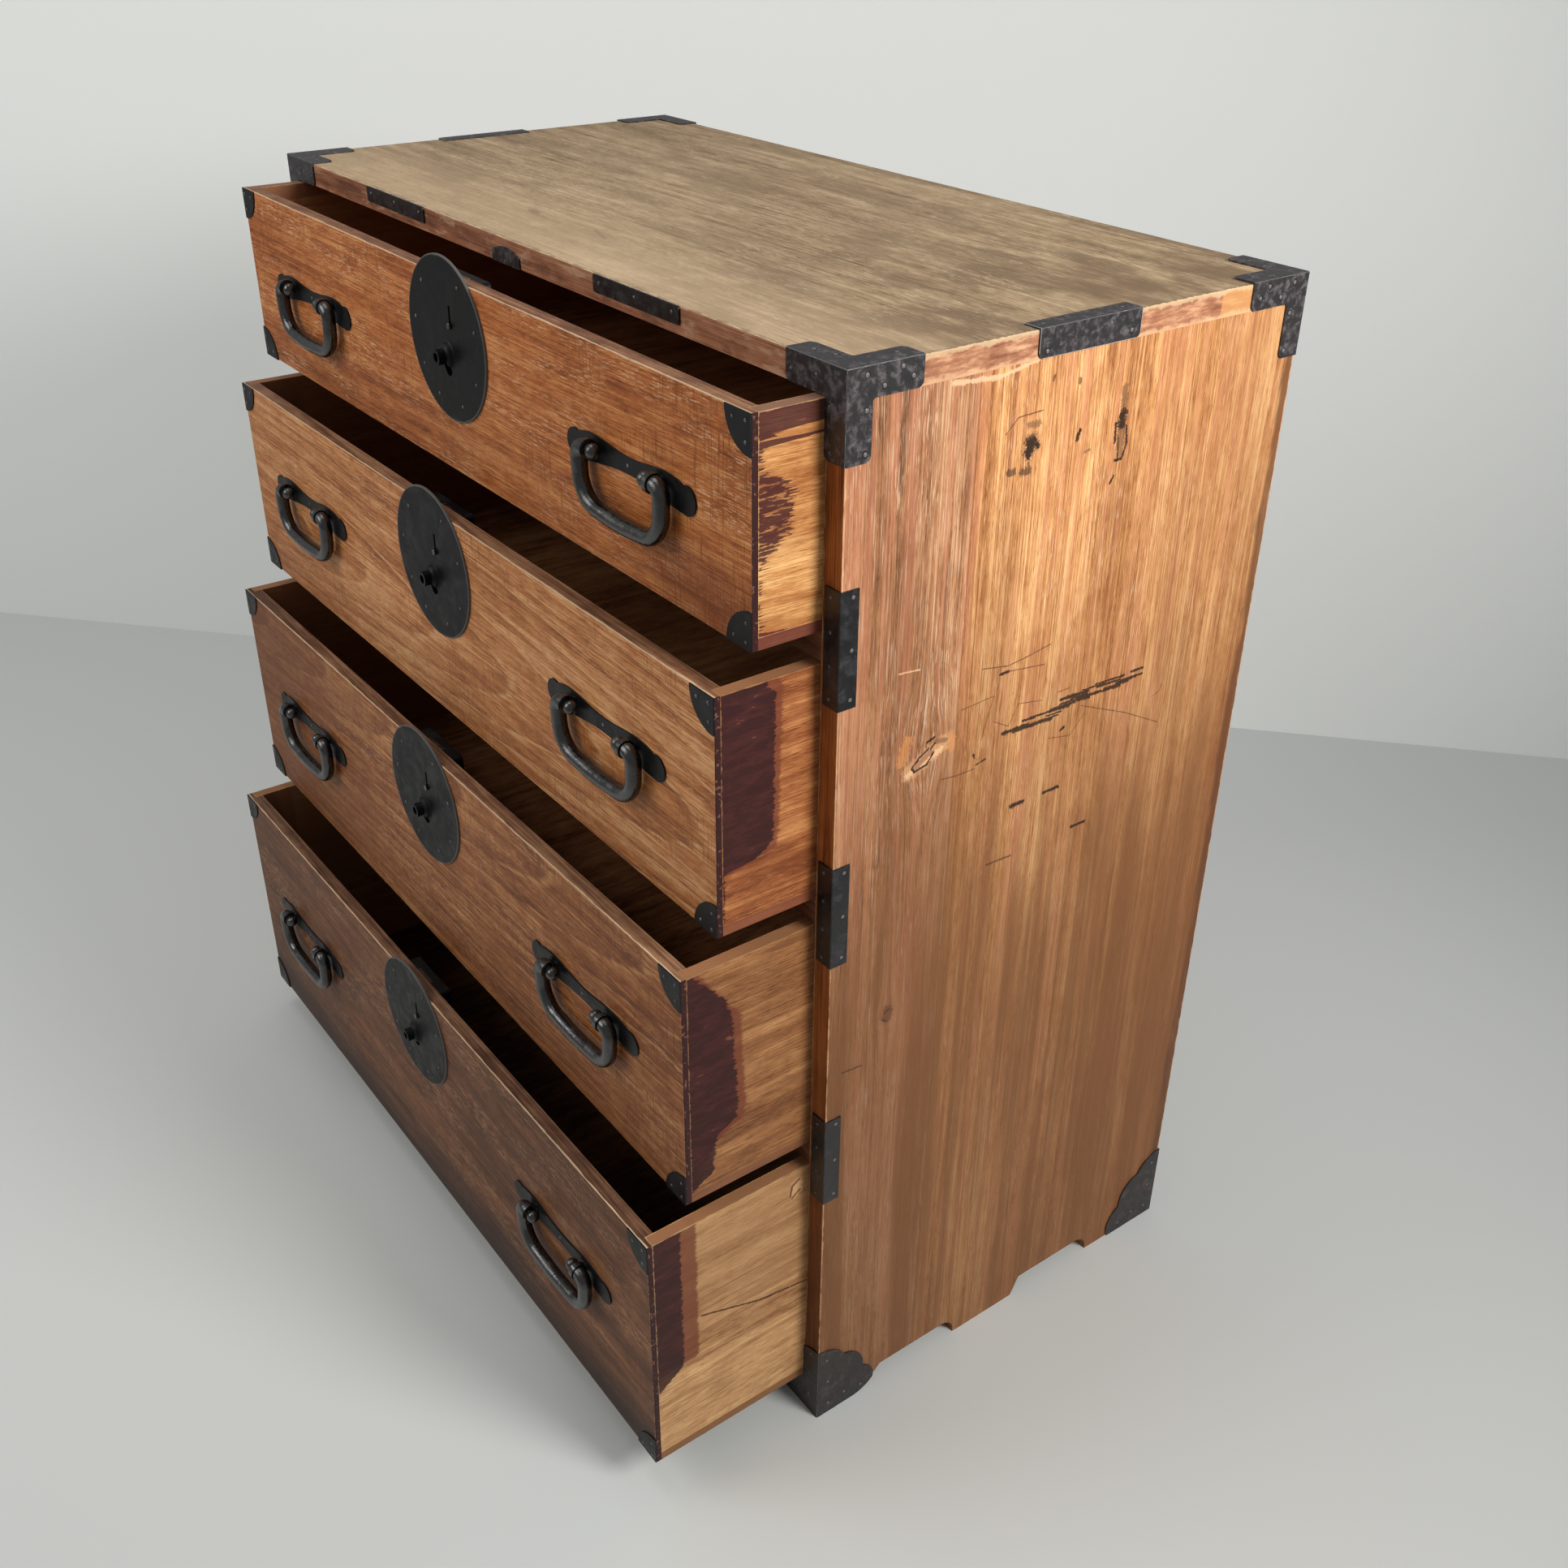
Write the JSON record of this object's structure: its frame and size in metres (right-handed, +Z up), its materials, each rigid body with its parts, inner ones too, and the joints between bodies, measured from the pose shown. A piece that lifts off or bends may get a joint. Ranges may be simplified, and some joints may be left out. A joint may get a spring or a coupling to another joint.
{
  "type": "clothing chest",
  "caption": "Low wooden clothing chest with sheet-iron corners, round lock plates, swinging bail handles and lockable drawers that slide out.",
  "frame": {"origin": "centre of the footprint of the carcase over its iron, on the floor", "axes": "+X to the right as seen from the front, the drawers open towards -Y, +Z up"},
  "size_m": [0.909, 0.6323, 0.992],
  "materials": {
    "top_wood": "worn olive-grey clear finish",
    "side_wood": "worn clear finish, vertical grain",
    "front_wood": "worn red-brown lacquer",
    "drawer_wood": "bare wood",
    "inner_wood": "dark aged wood",
    "sheet_iron": "blackened sheet iron, hand beaten",
    "wrought_iron": "forged, dark, rubbed bright where held"
  },
  "bodies": {
    "carcase": {"top_board": "top_wood", "bottom_board": "inner_wood", "left_side_board": "side_wood", "right_side_board": "side_wood", "back_boards": "inner_wood", "dust_boards": "inner_wood", "front_rails": "inner_wood", "foot_blocks": "inner_wood", "top_brackets": "sheet_iron", "top_edge_straps": "sheet_iron", "edge_straps": "sheet_iron", "rail_plates": "sheet_iron", "keeper_plates": "sheet_iron", "corner_shoes": "sheet_iron"},
    "drawer_1": {"drawer_1_front": "front_wood", "drawer_1_sides": "drawer_wood", "drawer_1_back": "drawer_wood", "drawer_1_bottom": "drawer_wood", "drawer_1_corner_plates": "sheet_iron", "drawer_1_lock_plate": "sheet_iron", "drawer_1_handle_plates": "sheet_iron", "drawer_1_handle_posts": "wrought_iron"},
    "drawer_1_left_bail": {"drawer_1_left_bail": "wrought_iron"},
    "drawer_1_right_bail": {"drawer_1_right_bail": "wrought_iron"},
    "drawer_1_lock_bolt": {"drawer_1_lock_bolt": "wrought_iron"},
    "drawer_2": {"drawer_2_front": "front_wood", "drawer_2_sides": "drawer_wood", "drawer_2_back": "drawer_wood", "drawer_2_bottom": "drawer_wood", "drawer_2_corner_plates": "sheet_iron", "drawer_2_lock_plate": "sheet_iron", "drawer_2_handle_plates": "sheet_iron", "drawer_2_handle_posts": "wrought_iron"},
    "drawer_2_left_bail": {"drawer_2_left_bail": "wrought_iron"},
    "drawer_2_right_bail": {"drawer_2_right_bail": "wrought_iron"},
    "drawer_2_lock_bolt": {"drawer_2_lock_bolt": "wrought_iron"},
    "drawer_3": {"drawer_3_front": "front_wood", "drawer_3_sides": "drawer_wood", "drawer_3_back": "drawer_wood", "drawer_3_bottom": "drawer_wood", "drawer_3_corner_plates": "sheet_iron", "drawer_3_lock_plate": "sheet_iron", "drawer_3_handle_plates": "sheet_iron", "drawer_3_handle_posts": "wrought_iron"},
    "drawer_3_left_bail": {"drawer_3_left_bail": "wrought_iron"},
    "drawer_3_right_bail": {"drawer_3_right_bail": "wrought_iron"},
    "drawer_3_lock_bolt": {"drawer_3_lock_bolt": "wrought_iron"},
    "drawer_4": {"drawer_4_front": "front_wood", "drawer_4_sides": "drawer_wood", "drawer_4_back": "drawer_wood", "drawer_4_bottom": "drawer_wood", "drawer_4_corner_plates": "sheet_iron", "drawer_4_lock_plate": "sheet_iron", "drawer_4_handle_plates": "sheet_iron", "drawer_4_handle_posts": "wrought_iron"},
    "drawer_4_left_bail": {"drawer_4_left_bail": "wrought_iron"},
    "drawer_4_right_bail": {"drawer_4_right_bail": "wrought_iron"},
    "drawer_4_lock_bolt": {"drawer_4_lock_bolt": "wrought_iron"}
  },
  "joints": [
    {"name": "drawer_1_slide", "type": "slide", "parent": "carcase", "child": "drawer_1", "axis": [0, -1, 0], "range_m": [-0.057, 0.273]},
    {"name": "drawer_1_left_bail_swing", "type": "hinge", "parent": "drawer_1", "child": "drawer_1_left_bail", "pos_m": [-0.283, -0.2938, 0.8937], "axis": [-1, 0, 0], "range_deg": [-3, 170]},
    {"name": "drawer_1_right_bail_swing", "type": "hinge", "parent": "drawer_1", "child": "drawer_1_right_bail", "pos_m": [0.283, -0.2938, 0.8937], "axis": [-1, 0, 0], "range_deg": [-3, 170]},
    {"name": "drawer_1_lock_bolt_lift", "type": "slide", "parent": "drawer_1", "child": "drawer_1_lock_bolt", "axis": [0, 0, 1], "range_m": [0, 0.012]},
    {"name": "drawer_2_slide", "type": "slide", "parent": "carcase", "child": "drawer_2", "axis": [0, -1, 0], "range_m": [-0.0885, 0.2415]},
    {"name": "drawer_2_left_bail_swing", "type": "hinge", "parent": "drawer_2", "child": "drawer_2_left_bail", "pos_m": [-0.283, -0.3253, 0.6944], "axis": [-1, 0, 0], "range_deg": [-3, 170]},
    {"name": "drawer_2_right_bail_swing", "type": "hinge", "parent": "drawer_2", "child": "drawer_2_right_bail", "pos_m": [0.283, -0.3253, 0.6944], "axis": [-1, 0, 0], "range_deg": [-3, 170]},
    {"name": "drawer_2_lock_bolt_lift", "type": "slide", "parent": "drawer_2", "child": "drawer_2_lock_bolt", "axis": [0, 0, 1], "range_m": [0, 0.012]},
    {"name": "drawer_3_slide", "type": "slide", "parent": "carcase", "child": "drawer_3", "axis": [0, -1, 0], "range_m": [-0.122, 0.208]},
    {"name": "drawer_3_left_bail_swing", "type": "hinge", "parent": "drawer_3", "child": "drawer_3_left_bail", "pos_m": [-0.283, -0.3588, 0.4519], "axis": [-1, 0, 0], "range_deg": [-3, 170]},
    {"name": "drawer_3_right_bail_swing", "type": "hinge", "parent": "drawer_3", "child": "drawer_3_right_bail", "pos_m": [0.283, -0.3588, 0.4519], "axis": [-1, 0, 0], "range_deg": [-3, 170]},
    {"name": "drawer_3_lock_bolt_lift", "type": "slide", "parent": "drawer_3", "child": "drawer_3_lock_bolt", "axis": [0, 0, 1], "range_m": [0, 0.012]},
    {"name": "drawer_4_slide", "type": "slide", "parent": "carcase", "child": "drawer_4", "axis": [0, -1, 0], "range_m": [-0.161, 0.169]},
    {"name": "drawer_4_left_bail_swing", "type": "hinge", "parent": "drawer_4", "child": "drawer_4_left_bail", "pos_m": [-0.283, -0.3978, 0.1932], "axis": [-1, 0, 0], "range_deg": [-3, 170]},
    {"name": "drawer_4_right_bail_swing", "type": "hinge", "parent": "drawer_4", "child": "drawer_4_right_bail", "pos_m": [0.283, -0.3978, 0.1932], "axis": [-1, 0, 0], "range_deg": [-3, 170]},
    {"name": "drawer_4_lock_bolt_lift", "type": "slide", "parent": "drawer_4", "child": "drawer_4_lock_bolt", "axis": [0, 0, 1], "range_m": [0, 0.012]}
  ]
}
